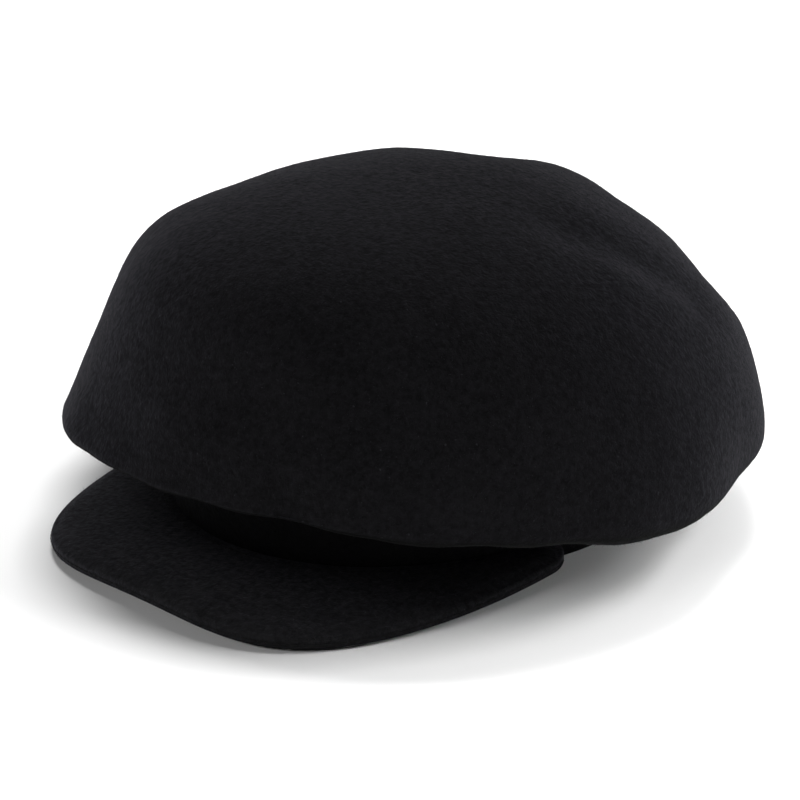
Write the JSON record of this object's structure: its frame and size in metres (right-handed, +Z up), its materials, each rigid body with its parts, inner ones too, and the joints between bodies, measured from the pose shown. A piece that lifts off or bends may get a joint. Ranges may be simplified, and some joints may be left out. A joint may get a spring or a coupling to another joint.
{
  "type": "newsboy cap",
  "caption": "Drooping one-piece felt cap crown over a fitted head band, with a short squared stiff visor, satin lining, ribbon sweatband and a hook-and-loop size adjuster.",
  "frame": {"origin": "middle of the cap's outline in plan, on the plane of the table the cap stands on; the head opening's centre is 6.08 mm behind it", "axes": "+Z up, -Y towards the visor (the front), +X towards the wearer's left"},
  "size_m": [0.282, 0.2911, 0.1355],
  "materials": {
    "black_felt": "matt wool felt with a short nap",
    "black_grosgrain": "ribbed ribbon",
    "black_satin": "satin",
    "woven_interfacing": "stiff open weave",
    "visor_board_plastic": "plain",
    "black_thread": "sewing thread",
    "black_hook_and_loop": "hook-and-loop pile",
    "white_woven_label": "blank woven label"
  },
  "bodies": {
    "cap": {"crown_shell": "black_felt", "outer_band": "black_felt", "band_interfacing": "woven_interfacing", "sweatband": "black_grosgrain", "sweatband_stitch": "black_thread", "crown_band_stitch": "black_thread", "lining_gore_1": "black_satin", "lining_gore_2": "black_satin", "lining_gore_3": "black_satin", "lining_gore_4": "black_satin", "lining_gore_5": "black_satin", "lining_gore_6": "black_satin", "lining_patch": "white_woven_label", "adjuster_loop_patch": "black_hook_and_loop"},
    "visor": {"visor_top_cover": "black_felt", "visor_board": "visor_board_plastic", "visor_under_cover": "black_felt", "visor_edge_stitch": "black_thread", "visor_seam_stitch": "black_thread"},
    "adjuster": {"adjuster_tape": "black_grosgrain", "adjuster_hook_patch": "black_hook_and_loop"},
    "size_label_flap": {"size_label": "white_woven_label"},
    "care_label_flap": {"care_label": "white_woven_label"}
  },
  "joints": [
    {"name": "visor_flex", "type": "hinge", "parent": "cap", "child": "visor", "pos_m": [0, -0.06192, 0.013], "axis": [-1, 0, 0], "range_deg": [-6, 12], "stiffness_Nm_per_rad": 0.6},
    {"name": "adjuster_slide", "type": "hinge", "parent": "cap", "child": "adjuster", "pos_m": [0, 0.03558, 0], "axis": [0, 0, -1], "range_deg": [0, 12]},
    {"name": "size_label_flip", "type": "hinge", "parent": "cap", "child": "size_label_flap", "pos_m": [-0.02596, 0.09983, 0.031], "axis": [-0.9272, -0.3746, 0], "range_deg": [0, 110]},
    {"name": "care_label_flip", "type": "hinge", "parent": "cap", "child": "care_label_flap", "pos_m": [0.07318, 0.04787, 0.03103], "axis": [-0.3746, 0.9272, 0], "range_deg": [0, 110]}
  ]
}
